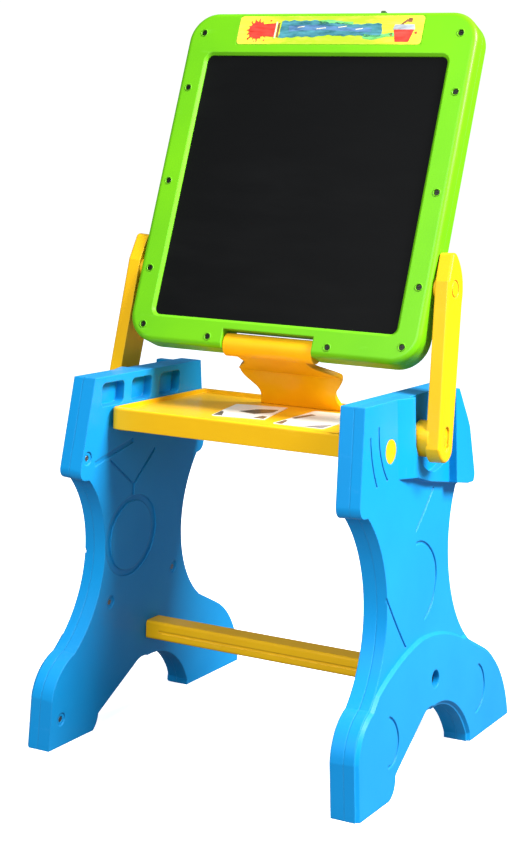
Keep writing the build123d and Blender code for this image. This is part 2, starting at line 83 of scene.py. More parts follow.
# Lamps: direction from the easel, distance in metres
KEY_FROM = (0.74, -0.04, 0.66), 2.8
FILL_FROM = (0.0, -0.86, 0.50), 3.2
FILL_SIZE = 1.6
LAMP_GLOSS = 0.4              # share of each lamp that shows in the gloss


# ---------------------------------------------------------------- sizes and colours

def colour(name, description, default):
    return FloatVectorProperty(
        name=name, description=description, default=default, size=3, min=0, max=1, subtype="COLOR"
    )


def length(name, description, default):
    return FloatProperty(
        name=name, description=description, default=default, min=0, unit="LENGTH", precision=5
    )


def share(name, description, default):
    return FloatProperty(
        name=name, description=description, default=default, min=0, max=1, subtype="FACTOR"
    )


class EASEL_PG_plastics(bpy.types.PropertyGroup):
    """Colours and surface of the moulded plastics."""

    blue: colour("Leg blue", "Colour of the moulded legs", (0.003, 0.285, 0.63))
    blue_deep: colour("Leg blue, deep", "Colour where the leg plastic flowed thick", (0.002, 0.245, 0.57))
    green: colour("Frame green", "Colour of the board's frame", (0.155, 0.50, 0.003))
    green_deep: colour("Frame green, deep", "Colour in the frame's thicker places", (0.115, 0.43, 0.002))
    yellow: colour("Yellow", "Colour of the tray, arms and crossbar", (0.86, 0.47, 0.004))
    yellow_deep: colour("Yellow, deep", "Colour in the yellow parts' thicker places", (0.78, 0.40, 0.002))
    amber: colour("Amber", "Colour of the prop and the pins", (0.94, 0.47, 0.003))
    amber_deep: colour("Amber, deep", "Colour in the prop's thicker places", (0.86, 0.40, 0.002))
    dust: colour("Dust", "Colour of the dust on faces that look up", (0.72, 0.68, 0.58))
    gloss: share("Roughness", "Roughness of clean moulded plastic", 0.33)
    edge_radius: length("Edge rounding", "Radius that the mould gives to every edge", 0.0022)
    peel: length("Peel depth", "Depth of the fine waviness of the moulded skin", 0.00004)
    dust_amount: share("Dust", "How much dust lies on faces that look up", 0.035)


class EASEL_PG_board(bpy.types.PropertyGroup):
    """Sizes and colours of the drawing board."""

    tilt: FloatProperty(
        name="Board tilt", description="Lean of the board back from upright",
        default=math.radians(19.8), subtype="ANGLE",
    )
    slate: colour("Slate", "Colour of the chalk side", (0.0024, 0.0026, 0.0028))
    chalk: colour("Chalk haze", "Colour of rubbed-out chalk on the slate", (0.030, 0.030, 0.029))
    white: colour("White side", "Colour of the dry-wipe side", (0.90, 0.91, 0.91))
    haze: share("Chalk haze", "How much rubbed-out chalk stays on the slate", 0.10)
    collar_in: length("Collar bore", "Bore radius of the collar round each screw", 0.0042)
    collar_out: length("Collar rim", "Outer radius of the collar round each screw", 0.0058)
    collar_rise: length("Collar rise", "Height of the collar above the frame", 0.0005)


class EASEL_PG_label(bpy.types.PropertyGroup):
    """Sizes and inks of the printed header label."""

    yellow: colour("Label yellow", "Ink at the label's ends", (0.86, 0.72, 0.05))
    lime: colour("Label lime", "Ink in the label's middle", (0.42, 0.66, 0.02))
    red: colour("Red ink", "Ink of the splash", (0.58, 0.020, 0.004))
    teal: colour("Teal ink", "Ink of the brush stroke", (0.018, 0.125, 0.15))
    blue: colour("Blue ink", "Ink of the wet edge of the brush stroke", (0.05, 0.14, 0.27))
    cream: colour("Cream ink", "Ink of the thin lines", (0.88, 0.78, 0.52))
    brown: colour("Brown ink", "Ink of the brush's ferrule", (0.20, 0.055, 0.012))
    grey: colour("Grey ink", "Ink of the paint pot's rim", (0.30, 0.33, 0.36))
    leaf: colour("Green ink", "Ink of the short brush strokes", (0.10, 0.42, 0.10))
    film: length("Ink film", "Thickness of the printed film", 0.00018)
    height: length("Above pivot", "Label's middle above the tilt pivot, along the board", 0.335)


class EASEL_PG_tray(bpy.types.PropertyGroup):
    """Sizes and inks of the cards in the tray."""

    paper: colour("Card", "Colour of the cards", (0.86, 0.86, 0.80))
    ink: colour("Card ink", "Dark ink on the cards", (0.10, 0.085, 0.055))
    steel_ink: colour("Card blue ink", "Blue-grey ink on the right card", (0.13, 0.17, 0.20))
    film: length("Ink film", "Thickness of the print", 0.00015)
    top: length("Card top", "Height of the cards' upper face", 0.4416)


class EASEL_PG_studio(bpy.types.PropertyGroup):
    """Camera and lights."""

    eye: FloatVectorProperty(
        name="Camera", description="Place of the camera", default=(1.0525, -2.0343, 0.7855),
        size=3, subtype="TRANSLATION", unit="LENGTH",
    )
    yaw: FloatProperty(name="Yaw", description="Turn of the camera to the left of +Y",
                       default=math.radians(28.33), subtype="ANGLE")
    pitch: FloatProperty(name="Pitch", description="Dip of the camera below level",
                         default=math.radians(9.07), subtype="ANGLE")
    roll: FloatProperty(name="Roll", description="Roll of the camera",
                        default=math.radians(1.94), subtype="ANGLE")
    lens: FloatProperty(name="Lens", description="Focal length in mm on a 36 mm sensor",
                        default=73.80, min=1)
    key_power: FloatProperty(name="Key power", description="Power of the large side light",
                             default=205, min=0, unit="POWER")
    key_size: length("Key size", "Edge of the large side light", 1.1)
    fill_power: FloatProperty(name="Fill power", description="Power of the soft front light",
                              default=84, min=0, unit="POWER")
    sky: FloatProperty(name="Room light", description="Strength of the even light of the room",
                       default=0.38, min=0)
    floor: colour("Floor", "Colour of the floor", (0.90, 0.90, 0.90))
    floor_size: length("Floor size", "Edge of the floor", 16.0)


# ---------------------------------------------------------------- node helpers

def put(tree, kind, name, at, **values):
    """Adds a node and sets its sockets, whose names are written with _ for a space."""
    made = tree.nodes.new(kind)
    made.name = made.label = name
    made.location = at
    for socket, value in values.items():
        made.inputs[socket.replace("_", " ")].default_value = value
    return made


def wire(tree, source, target):
    tree.links.new(source, target)


def reckon(tree, name, at, operation, first, second=None, clamp=False):
    """A Math node between two sockets or numbers."""
    made = tree.nodes.new("ShaderNodeMath")
    made.name = made.label = name
    made.location = at
    made.operation = operation
    made.use_clamp = clamp
    for i, value in enumerate((first, second)):
        if value is None:
            continue
        if isinstance(value, (int, float)):
            made.inputs[i].default_value = value
        else:
            wire(tree, value, made.inputs[i])
    return made.outputs[0]


def stretch(tree, name, at, value, low, high, to_low=0.0, to_high=1.0):
    """A clamped Map Range node."""
    made = put(tree, "ShaderNodeMapRange", name, at)
    wire(tree, value, made.inputs["Value"])
    for socket, number in (("From Min", low), ("From Max", high), ("To Min", to_low), ("To Max", to_high)):
        made.inputs[socket].default_value = number
    return made.outputs["Result"]


def blend(tree, name, at, amount, first, second):
    """A colour Mix node; first and second are sockets or colours."""
    made = tree.nodes.new("ShaderNodeMix")
    made.name = made.label = name
    made.location = at
    made.data_type = "RGBA"
    wire(tree, amount, made.inputs[0])
    for i, value in ((6, first), (7, second)):
        if isinstance(value, bpy.types.NodeSocket):
            wire(tree, value, made.inputs[i])
        else:
            made.inputs[i].default_value = (*value, 1)
    return made.outputs[2]


def noise(tree, name, at, where, scale, detail=3.0, rough=0.5):
    made = put(tree, "ShaderNodeTexNoise", name, at, Detail=detail, Roughness=rough)
    wire(tree, where, made.inputs["Vector"])
    if isinstance(scale, (int, float)):
        made.inputs["Scale"].default_value = scale
    else:
        wire(tree, scale, made.inputs["Scale"])
    return made.outputs["Fac"]


def group(name, inputs, outputs):
    """A new shader group with named number inputs and outputs."""
    tree = bpy.data.node_groups.new(name, "ShaderNodeTree")
    for socket, default in inputs:
        made = tree.interface.new_socket(socket, in_out="INPUT", socket_type="NodeSocketFloat")
        made.default_value = default
    for socket, kind in outputs:
        tree.interface.new_socket(socket, in_out="OUTPUT", socket_type=kind)
    start = tree.nodes.new("NodeGroupInput")
    start.location = (-900, 0)
    end = tree.nodes.new("NodeGroupOutput")
    end.location = (900, 0)
    return tree, start, end


def moulded_skin():
    """Group: clouding, fine peel, rub marks and dust of a moulded surface."""
    if "moulded_skin" in bpy.data.node_groups:
        return bpy.data.node_groups["moulded_skin"]
    number = "NodeSocketFloat"
    tree, start, end = group(
        "moulded_skin",
        [("Cloud Scale", 7.0), ("Peel Scale", 420.0), ("Rub Scale", 60.0), ("Dust Amount", 0.1)],
        [("Cloud", number), ("Peel", number), ("Rub", number), ("Dust", number)],
    )
    where = put(tree, "ShaderNodeTexCoord", "place on the piece", (-900, -260)).outputs["Object"]
    cloud = noise(tree, "flow clouding", (-600, 300), where, start.outputs["Cloud Scale"], 4, 0.55)
    wire(tree, stretch(tree, "clouding", (-300, 300), cloud, 0.3, 0.7), end.inputs["Cloud"])
    peel = noise(tree, "peel", (-600, 60), where, start.outputs["Peel Scale"], 2, 0.4)
    wire(tree, peel, end.inputs["Peel"])
    long = put(tree, "ShaderNodeMapping", "along the rub", (-720, -160))
    long.inputs["Rotation"].default_value = (0.3, 0.9, 0.5)
    long.inputs["Scale"].default_value = (0.35, 6.0, 1.2)
    wire(tree, where, long.inputs["Vector"])
    rub = noise(tree, "rub streaks", (-480, -160), long.outputs["Vector"], start.outputs["Rub Scale"], 5, 0.6)
    patch = noise(tree, "where rubbed", (-480, -360), where, 11.0, 2, 0.5)
    streak = stretch(tree, "thin streaks", (-240, -160), rub, 0.62, 0.70)
    patchy = stretch(tree, "rubbed patches", (-240, -360), patch, 0.50, 0.66)
    wire(tree, reckon(tree, "rub marks", (0, -220), "MULTIPLY", streak, patchy), end.inputs["Rub"])
    facing = put(tree, "ShaderNodeNewGeometry", "facing", (-720, -600))
    parts = put(tree, "ShaderNodeSeparateXYZ", "split facing", (-480, -600))
    wire(tree, facing.outputs["Normal"], parts.inputs[0])
    upward = stretch(tree, "looks up", (-240, -600), parts.outputs["Z"], 0.55, 1.0)
    speck = noise(tree, "dust specks", (-480, -780), where, 160.0, 5, 0.7)
    settled = stretch(tree, "settled", (-240, -780), speck, 0.35, 0.75, 0.25, 1.0)
    dust = reckon(tree, "dust on top", (0, -640), "MULTIPLY", upward, settled)
    dust = reckon(tree, "dust amount", (200, -640), "MULTIPLY", dust, start.outputs["Dust Amount"], True)
    wire(tree, dust, end.inputs["Dust"])
    return tree


def rounded_edge():
    """Group: the small radius of a moulded edge, and a mask of where edges lie, used to paint highlights along
    them.
    """
    if "rounded_edge" in bpy.data.node_groups:
        return bpy.data.node_groups["rounded_edge"]
    tree, start, end = group(
        "rounded_edge", [("Radius", 0.002)], [("Edge", "NodeSocketFloat"), ("Normal", "NodeSocketVector")]
    )
    soft = tree.nodes.new("ShaderNodeBevel")
    soft.samples = 6
    soft.location = (-600, 100)
    wire(tree, start.outputs["Radius"], soft.inputs["Radius"])
    wire(tree, soft.outputs["Normal"], end.inputs["Normal"])
    facing = put(tree, "ShaderNodeNewGeometry", "facing", (-600, -160))
    dot = tree.nodes.new("ShaderNodeVectorMath")
    dot.operation = "DOT_PRODUCT"
    dot.location = (-360, 0)
    wire(tree, soft.outputs["Normal"], dot.inputs[0])
    wire(tree, facing.outputs["Normal"], dot.inputs[1])
    where = put(tree, "ShaderNodeTexCoord", "place on the piece", (-600, -400)).outputs["Object"]
    # noise breaks the painted edge highlight into uneven stretches
    highlight_noise = noise(tree, "uneven wear", (-360, -300), where, 90.0, 4, 0.6)
    edge = stretch(tree, "turned from the face", (-120, 0), dot.outputs["Value"], 0.995, 0.85)
    highlight_breakup = stretch(tree, "wear", (-120, -300), highlight_noise, 0.3, 0.7, 0.35, 1.0)
    wire(tree, reckon(tree, "edge", (140, 0), "MULTIPLY", edge, highlight_breakup, True), end.inputs["Edge"])
    return tree


def use_group(tree, which, at, **values):
    made = tree.nodes.new("ShaderNodeGroup")
    made.node_tree = which
    made.name = made.label = which.name
    made.location = at
    for socket, value in values.items():
        made.inputs[socket.replace("_", " ")].default_value = value
    return made


def blank(name, **shader):
    """A material with one Principled shader whose plain values are set on it."""
    made = bpy.data.materials.new(name)
    made.use_nodes = True
    tree = made.node_tree
    surface = tree.nodes["Principled BSDF"]
    surface.location = (700, 0)
    tree.nodes["Material Output"].location = (1000, 0)
    for socket, value in shader.items():
        surface.inputs[socket.replace("_", " ")].default_value = value
    return made, tree, surface


def raised(tree, surface, height, depth, under=None, at=(460, -300)):
    """A Bump node of a real depth in metres that feeds the shader's normal."""
    bump = put(tree, "ShaderNodeBump", "relief", at, Strength=1.0, Distance=depth)
    wire(tree, height, bump.inputs["Height"])
    if under is not None:
        wire(tree, under, bump.inputs["Normal"])
    wire(tree, bump.outputs["Normal"], surface.inputs["Normal"])
    return bump


# ---------------------------------------------------------------- finishes

def moulded_plastic(name, body, deep, s, rough=None, radius=None, cloud=7.0):
    """Moulded plastic with flow clouding, peel, painted highlights along the edges, pale rub marks and dust."""
    if name in bpy.data.materials:
        return bpy.data.materials[name]
    rough = s.gloss if rough is None else rough
    made, tree, surface = blank(name, Specular_IOR_Level=0.20, Coat_Weight=0.05, Coat_Roughness=0.14)
    skin = use_group(tree, moulded_skin(), (-600, 0), Cloud_Scale=cloud, Dust_Amount=s.dust_amount)
    edge = use_group(tree, rounded_edge(), (-600, -420), Radius=radius or s.edge_radius)
    pale = tuple(min(1.0, c * 1.15 + 0.05) for c in body)
    base = blend(tree, "clouded colour", (-300, 200), skin.outputs["Cloud"], body, deep)
    # painted highlight: the edges are blended toward the pale colour
    light = reckon(tree, "edge share", (-300, -200), "MULTIPLY", edge.outputs["Edge"], 0.45)
    base = blend(tree, "pale edges", (-60, 200), light, base, pale)
    marks = reckon(tree, "rub share", (-300, -60), "MULTIPLY", skin.outputs["Rub"], 0.22)
    base = blend(tree, "rub marks", (160, 200), marks, base, pale)
    base = blend(tree, "dusty colour", (380, 200), skin.outputs["Dust"], base, tuple(s.dust))
    wire(tree, base, surface.inputs["Base Color"])
    dull = stretch(tree, "clouded gloss", (-60, -60), skin.outputs["Cloud"], 0, 1, rough, rough + 0.09)
    dull = reckon(tree, "rubbed gloss", (160, -60), "ADD", dull, marks)
    dusty = reckon(tree, "dust dulls", (160, -240), "MULTIPLY", skin.outputs["Dust"], 1.4)
    wire(tree, reckon(tree, "roughness", (380, -60), "ADD", dull, dusty, True), surface.inputs["Roughness"])
    raised(tree, surface, skin.outputs["Peel"], s.peel, edge.outputs["Normal"])
    return made


def slate_paint(s):
    """Matt chalk side with a haze of rubbed-out chalk."""
    made, tree, surface = blank("slate_paint", Specular_IOR_Level=0.07)
    where = put(tree, "ShaderNodeTexCoord", "place", (-900, 0)).outputs["Object"]
    sweep = put(tree, "ShaderNodeMapping", "wiped sideways", (-700, 0))
    sweep.inputs["Rotation"].default_value = (0, 0.5, 0)
    sweep.inputs["Scale"].default_value = (3.0, 3.0, 14.0)
    wire(tree, where, sweep.inputs["Vector"])
    wiped = noise(tree, "wipe marks", (-460, 120), sweep.outputs["Vector"], 2.2, 5, 0.6)
    cloud = noise(tree, "chalk clouds", (-460, -120), where, 5.0, 3, 0.5)
    haze = reckon(tree, "haze", (-220, 40), "MULTIPLY", stretch(tree, "wiped", (-220, 200), wiped, 0.42, 0.75),
                  stretch(tree, "clouded", (-220, -160), cloud, 0.35, 0.7))
    haze = reckon(tree, "haze share", (0, 40), "MULTIPLY", haze, s.haze)
    wire(tree, blend(tree, "slate with chalk", (240, 120), haze, tuple(s.slate), tuple(s.chalk)),
         surface.inputs["Base Color"])
    wire(tree, stretch(tree, "matt", (240, -120), haze, 0, 0.3, 0.52, 0.75), surface.inputs["Roughness"])
    raised(tree, surface, noise(tree, "tooth", (-220, -360), where, 1500.0, 2, 0.5), 0.00003)
    return made


def dry_wipe(s):
    """Glossy white side with faint smears."""
    made, tree, surface = blank("dry_wipe", Specular_IOR_Level=0.5, Coat_Weight=0.3, Coat_Roughness=0.06)
    where = put(tree, "ShaderNodeTexCoord", "place", (-700, 0)).outputs["Object"]
    smear = noise(tree, "smears", (-460, 0), where, 14.0, 4, 0.6)
    faint = stretch(tree, "faint smears", (-220, 0), smear, 0.45, 0.8, 0.0, 0.35)
    wire(tree, blend(tree, "smeared white", (120, 100), faint, tuple(s.white), (0.72, 0.75, 0.78)),
         surface.inputs["Base Color"])
    gloss = stretch(tree, "smeared gloss", (120, -100), smear, 0.3, 0.8, 0.10, 0.26)
    wire(tree, gloss, surface.inputs["Roughness"])
    raised(tree, surface, noise(tree, "waviness", (-220, -300), where, 30.0, 1, 0.5), 0.00005)
    return made


def screw_metal(name, dark, light):
    """Dull metal of the small screws, with a painted highlight along their edges."""
    made, tree, surface = blank(name, Metallic=1.0)
    where = put(tree, "ShaderNodeTexCoord", "place", (-700, 0)).outputs["Object"]
    grain = noise(tree, "zinc grain", (-460, 0), where, 900.0, 3, 0.6)
    edge = use_group(tree, rounded_edge(), (-460, -260), Radius=0.0004)
    base = blend(tree, "zinc", (-100, 120), stretch(tree, "grained", (-260, 40), grain, 0.3, 0.7),
                 dark, light)
    # painted highlight: the edges take a colour twice the bright tone of the metal
    rim = tuple(2.0 * c for c in light)
    base = blend(tree, "bright rim", (160, 120), edge.outputs["Edge"], base, rim)
    wire(tree, base, surface.inputs["Base Color"])
    gloss = stretch(tree, "uneven gloss", (160, -80), grain, 0.2, 0.8, 0.28, 0.48)
    wire(tree, gloss, surface.inputs["Roughness"])
    raised(tree, surface, grain, 0.00002, edge.outputs["Normal"])
    return made


def card_board(s):
    """Coated card with fibre, and patches of painted yellow light reflected from the tray."""
    made, tree, surface = blank("card_board", Specular_IOR_Level=0.4)
    where = put(tree, "ShaderNodeTexCoord", "place", (-700, 0)).outputs["Object"]
    fibre = noise(tree, "fibre", (-460, 60), where, 500.0, 5, 0.65)
    # patches for the painted reflection of the tray's yellow; the same patches vary the gloss
    patch_noise = noise(tree, "handling", (-460, -160), where, 22.0, 3, 0.5)
    base = blend(tree, "fibre colour", (-200, 100), stretch(tree, "fibres", (-300, 60), fibre, 0.3, 0.7),
                 tuple(s.paper), tuple(0.93 * c for c in s.paper))
    # painted reflection: share of the tray's yellow laid on the card
    handled = stretch(tree, "handled", (-200, -160), patch_noise, 0.5, 0.8, 0, 0.5)
    base = blend(tree, "handled colour", (60, 100), handled, base, (0.80, 0.76, 0.58))
    wire(tree, base, surface.inputs["Base Color"])
    gloss = stretch(tree, "card gloss", (60, -100), patch_noise, 0.3, 0.7, 0.34, 0.5)
    wire(tree, gloss, surface.inputs["Roughness"])
    raised(tree, surface, fibre, 0.00004)
    return made


def printed_ink(name, body, lift=1.25, streak=(2.0, 9.0, 9.0)):
    """Printed ink with brushy streaks and fine print grain."""
    if name in bpy.data.materials:
        return bpy.data.materials[name]
    made, tree, surface = blank(name, Specular_IOR_Level=0.5, Coat_Weight=0.25, Coat_Roughness=0.2)
    where = put(tree, "ShaderNodeTexCoord", "place", (-900, 0)).outputs["Object"]
    along = put(tree, "ShaderNodeMapping", "brush direction", (-700, 60))
    along.inputs["Scale"].default_value = streak
    wire(tree, where, along.inputs["Vector"])
    brush = noise(tree, "brush streaks", (-460, 60), along.outputs["Vector"], 26.0, 4, 0.6)
    grain = noise(tree, "print grain", (-460, -200), where, 1400.0, 2, 0.6)
    pale = tuple(min(1.0, c * lift + 0.03) for c in body)
    dark = tuple(c * 0.62 for c in body)
    base = blend(tree, "streaked ink", (-160, 80), stretch(tree, "streaks", (-280, 60), brush, 0.3, 0.7),
                 dark, pale)
    speck = stretch(tree, "grain", (-280, -200), grain, 0.35, 0.65, 0.0, 0.28)
    wire(tree, blend(tree, "grained ink", (120, 80), speck, base, pale), surface.inputs["Base Color"])
    gloss = stretch(tree, "ink gloss", (120, -120), brush, 0.3, 0.7, 0.25, 0.42)
    wire(tree, gloss, surface.inputs["Roughness"])
    raised(tree, surface, grain, 0.00002)
    return made


def label_film(s):
    """Printed ground of the header label: yellow ends, lime middle, washy strokes."""
    made, tree, surface = blank("label_film", Specular_IOR_Level=0.5, Coat_Weight=0.35, Coat_Roughness=0.15)
    where = put(tree, "ShaderNodeTexCoord", "place", (-1100, 0)).outputs["Object"]
    parts = put(tree, "ShaderNodeSeparateXYZ", "across the label", (-900, 160))
    wire(tree, where, parts.inputs[0])
    wash = put(tree, "ShaderNodeMapping", "wash direction", (-900, -120))
    wash.inputs["Scale"].default_value = (1.0, 5.0, 5.0)
    wire(tree, where, wash.inputs["Vector"])
    stroke = noise(tree, "washes", (-680, -120), wash.outputs["Vector"], 30.0, 4, 0.6)
    ends = reckon(tree, "from the middle", (-680, 160), "ABSOLUTE", parts.outputs["X"])
    wander = reckon(tree, "uneven border", (-460, -20), "MULTIPLY", stroke, 0.11)
    ends = reckon(tree, "bordered", (-460, 160), "ADD", ends, wander)
    ground = stretch(tree, "toward the ends", (-240, 160), ends, 0.11, 0.175)
    base = blend(tree, "ground", (0, 160), ground, tuple(s.lime), tuple(s.yellow))
    pale = stretch(tree, "pale washes", (-240, -120), stroke, 0.5, 0.72, 0, 0.6)
    base = blend(tree, "washed ground", (220, 160), pale, base, (0.78, 0.80, 0.10))
    wire(tree, base, surface.inputs["Base Color"])
    gloss = stretch(tree, "film gloss", (220, -80), stroke, 0.3, 0.7, 0.22, 0.34)
    wire(tree, gloss, surface.inputs["Roughness"])
    lay = noise(tree, "lay of the film", (-240, -360), where, 60.0, 2, 0.5)
    raised(tree, surface, lay, 0.00006)
    return made


# ---------------------------------------------------------------- shape helpers

def joint_place(name):
    for row in frame["record"]["behaviour"]["joints"]:
        if row["name"] == name:
            return Vector(row["pos_m"])
    raise RuntimeError(f"the packed record has no joint {name}")


def board_place(tilt):
    """Board's own axes: X across, Y up the board, Z out of its chalk side."""
    pivot = joint_place("board_tilt")
    return Matrix((
        (1, 0, 0, 0),
        (0, math.sin(tilt), -math.cos(tilt), pivot.y),
        (0, math.cos(tilt), math.sin(tilt), pivot.z),
        (0, 0, 0, 1),
    ))


def finished(name, shape, body, slot, *materials):
    """Closes a bmesh into a piece that rides on one body of the easel."""
    bmesh.ops.remove_doubles(shape, verts=shape.verts, dist=1e-7)
    bmesh.ops.recalc_face_normals(shape, faces=shape.faces)
    mesh = bpy.data.meshes.new(name)
    shape.to_mesh(mesh)
    shape.free()
    piece = bpy.data.objects.new(name, mesh)
    bpy.context.scene.collection.objects.link(piece)
    for material in materials:
        mesh.materials.append(material)
    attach(piece, body)
    return piece


def dress(node, material):
    """Puts a finish on every slot of a part."""
    part = frame["nodes"][node]
    if not part.material_slots:
        part.data.materials.append(material)
    for place in part.material_slots:
        place.material = material


def thicken(shape, faces, film):
    """Turns a flat outline into a thin closed film, out along +Z."""
    risen = bmesh.ops.extrude_face_region(shape, geom=faces)
    tops = [v for v in risen["geom"] if isinstance(v, bmesh.types.BMVert)]
    bmesh.ops.translate(shape, verts=tops, vec=(0, 0, film))


def splash(shape, centre, radius, spikes, rng, film, squash=1.0):
    """A paint splash: a disc whose rim is thrown out into drops."""
    rim = bmesh.ops.create_circle(shape, cap_ends=True, segments=spikes * 4, radius=1)["verts"]
    for i, vert in enumerate(rim):
        turn = 2 * math.pi * i / len(rim)
        reach = radius * (1 + (rng.uniform(0.18, 0.5) if i % 4 == 2 else rng.uniform(-0.08, 0.06)))
        vert.co = (centre[0] + reach * math.cos(turn), centre[1] + squash * reach * math.sin(turn), 0)
    thicken(shape, [f for f in rim[0].link_faces], film)


def patch(shape, corners, film):
    """A thin film with straight sides."""
    verts = [shape.verts.new((x, y, 0)) for x, y in corners]
    thicken(shape, [shape.faces.new(verts)], film)


def brush_stroke(shape, start, end, width, rise, wave, rng, film):
    """A dry brush stroke with ragged ends, slightly waved."""
    made = bmesh.ops.create_grid(shape, x_segments=56, y_segments=4, size=0.5)["verts"]
    span = end - start
    for vert in made:
        along, across = vert.co.x + 0.5, vert.co.y * 2
        ragged = 0.012 * rng.uniform(-1, 1) if along in (0.0, 1.0) else 0.0
        waist = width * (0.5 - 0.12 * along + 0.05 * math.sin(7 * along) + 0.03 * math.sin(23 * along))
        if abs(across) > 0.9:
            waist *= 1 + 0.10 * math.sin(61 * along) * rng.uniform(0.3, 1)
        vert.co = (start + span * (along + ragged), rise + wave * math.sin(5 * along) + across * waist, 0)
    thicken(shape, [f for f in shape.faces if all(v in made for v in f.verts)], film)


def printed(name, draw, place, body, slot, ink, film):
    """A printed motif drawn flat, then laid in its place."""
    shape = bmesh.new()
    draw(shape)
    bmesh.ops.transform(shape, matrix=place, verts=shape.verts)
    return finished(name, shape, body, slot, ink)


# ---------------------------------------------------------------- operators

class EASEL_OT_legs(bpy.types.Operator):
    """Blue moulded plastic of both legs, and the screws that hold them together."""

    bl_idname = "easel.legs"
    bl_label = "Legs"

    def execute(self, context):
        s = context.scene.easel_plastics
        blue = moulded_plastic("leg_plastic", tuple(s.blue), tuple(s.blue_deep), s, cloud=4.5)
        inner = moulded_plastic("leg_plastic_inner", tuple(s.blue), tuple(s.blue_deep), s,
                                rough=s.gloss + 0.06, cloud=5.5)
        steel = screw_metal("screw_steel", *ZINC)
        for side in ("right", "left"):
            dress(f"{side}_leg_outer_shell", blue)
            dress(f"{side}_leg_inner_shell", inner)
            dress(f"{side}_leg_screws", steel)
        return {"FINISHED"}


class EASEL_OT_tray(bpy.types.Operator):
    """Yellow tray and crossbar."""

    bl_idname = "easel.tray"
    bl_label = "Tray and crossbar"

    def execute(self, context):
        s = context.scene.easel_plastics
        yellow = moulded_plastic("tray_plastic", tuple(s.yellow), tuple(s.yellow_deep), s, cloud=6.0)
        dress("desk_tray", yellow)
        dress("crossbar", yellow)
        dress("crossbar_screws", screw_metal("bronze_screw", *BRONZE))
        return {"FINISHED"}


class EASEL_OT_cards(bpy.types.Operator):
    """Two printed cards that lie in the tray."""

    bl_idname = "easel.cards"
    bl_label = "Cards in the tray"

    def execute(self, context):
        s = context.scene.easel_tray
        paper = card_board(s)
        dress("tray_card_left", paper)
        dress("tray_card_right", paper)
        ink = printed_ink("card_ink", tuple(s.ink), 1.6)
        steel = printed_ink("card_steel_ink", tuple(s.steel_ink), 1.5)
        left, right = (
            Matrix.Translation((across, back, s.top)) @ Matrix.Rotation(math.radians(turn), 4, "Z")
            for across, back, turn in (CARD_LEFT, CARD_RIGHT)
        )

        def left_marks(shape):
            patch(shape, [(-0.035, -0.052), (-0.022, -0.053), (-0.030, -0.020), (-0.035, -0.014)], s.film)
            patch(shape, [(-0.014, -0.006), (0.012, -0.020), (0.030, 0.004), (0.031, 0.030), (0.004, 0.022)],
                  s.film)
            patch(shape, [(0.018, -0.050), (0.034, -0.054), (0.034, -0.034), (0.026, -0.030)], s.film)

        def right_marks(shape):
            patch(shape, [(-0.034, -0.010), (-0.027, -0.014), (-0.018, 0.030), (-0.026, 0.034)], s.film)
            patch(shape, [(-0.033, -0.063), (-0.022, -0.063), (-0.027, -0.036), (-0.033, -0.030)], s.film)

        def right_corner(shape):
            patch(shape, [(0.002, -0.063), (0.034, -0.063), (0.034, -0.030)], s.film)

        printed("card_marks_left", left_marks, left, "frame", "printed_card", ink, s.film)
        printed("card_marks_right", right_marks, right, "frame", "printed_card", ink, s.film)
        printed("card_corner_right", right_corner, right, "frame", "printed_card", steel, s.film)
        return {"FINISHED"}


class EASEL_OT_arms(bpy.types.Operator):
    """Yellow swinging arms and the pins that they turn on."""

    bl_idname = "easel.arms"
    bl_label = "Arms and pins"

    def execute(self, context):
        s = context.scene.easel_plastics
        yellow = moulded_plastic("arm_plastic", tuple(s.yellow), tuple(s.yellow_deep), s,
                                 rough=s.gloss - 0.03, cloud=9.0)
        amber = moulded_plastic("pin_plastic", tuple(s.amber), tuple(s.amber_deep), s,
                                rough=s.gloss + 0.05, radius=0.0008, cloud=30.0)
        for side in ("right", "left"):
            dress(f"{side}_arm", yellow)
            dress(f"{side}_arm_pin", amber)
            dress(f"{side}_tilt_stud", amber)
        dress("prop_hinge_pin", amber)
        return {"FINISHED"}


class EASEL_OT_prop(bpy.types.Operator):
    """Amber folding prop."""

    bl_idname = "easel.prop"
    bl_label = "Prop"

    def execute(self, context):
        s = context.scene.easel_plastics
        dress("prop", moulded_plastic("prop_plastic", tuple(s.amber), tuple(s.amber_deep), s, cloud=10.0))
        return {"FINISHED"}


class EASEL_OT_board(bpy.types.Operator):
    """Green frame, chalk side, white side, screws and the collars round them."""

    bl_idname = "easel.board"
    bl_label = "Board"

    def execute(self, context):
        s, b = context.scene.easel_plastics, context.scene.easel_board
        green = moulded_plastic("frame_plastic", tuple(s.green), tuple(s.green_deep), s, cloud=5.0)
        dress("board_front_frame", green)
        dress("board_back_frame", green)
        dress("drawing_panel", slate_paint(b))
        dress("rear_panel", dry_wipe(b))
        dress("frame_screws", screw_metal("dark_screw", *DARK_METAL))
        dress("top_nib", moulded_plastic("nib_plastic", *NIB, s, rough=0.4, radius=0.0008, cloud=60.0))
        place = board_place(b.tilt)
        shape = bmesh.new()
        for across, up in SCREW_SPOTS:
            for side in (-1, 1):
                spot = Vector((side * across * MM, up * MM, BOARD_FRONT))
                ring = []
                for radius, height in ((b.collar_in, -0.0002), (b.collar_in, b.collar_rise * 0.7),
                                       (b.collar_in + 0.0004, b.collar_rise),
                                       (b.collar_out - 0.0005, b.collar_rise * 0.8), (b.collar_out, -0.0002)):
                    ring.append(shape.verts.new(spot + Vector((radius, 0, height))))
                edges = [shape.edges.new((a, c)) for a, c in zip(ring, ring[1:] + ring[:1])]
                bmesh.ops.spin(shape, geom=ring + edges, cent=spot, axis=(0, 0, 1), angle=2 * math.pi,
                               steps=28, use_merge=True, use_duplicate=False)
        bmesh.ops.transform(shape, matrix=place, verts=shape.verts)
        collars = finished("screw_collars", shape, "board", "green_plastic", green)
        collars.data.shade_smooth()
        return {"FINISHED"}


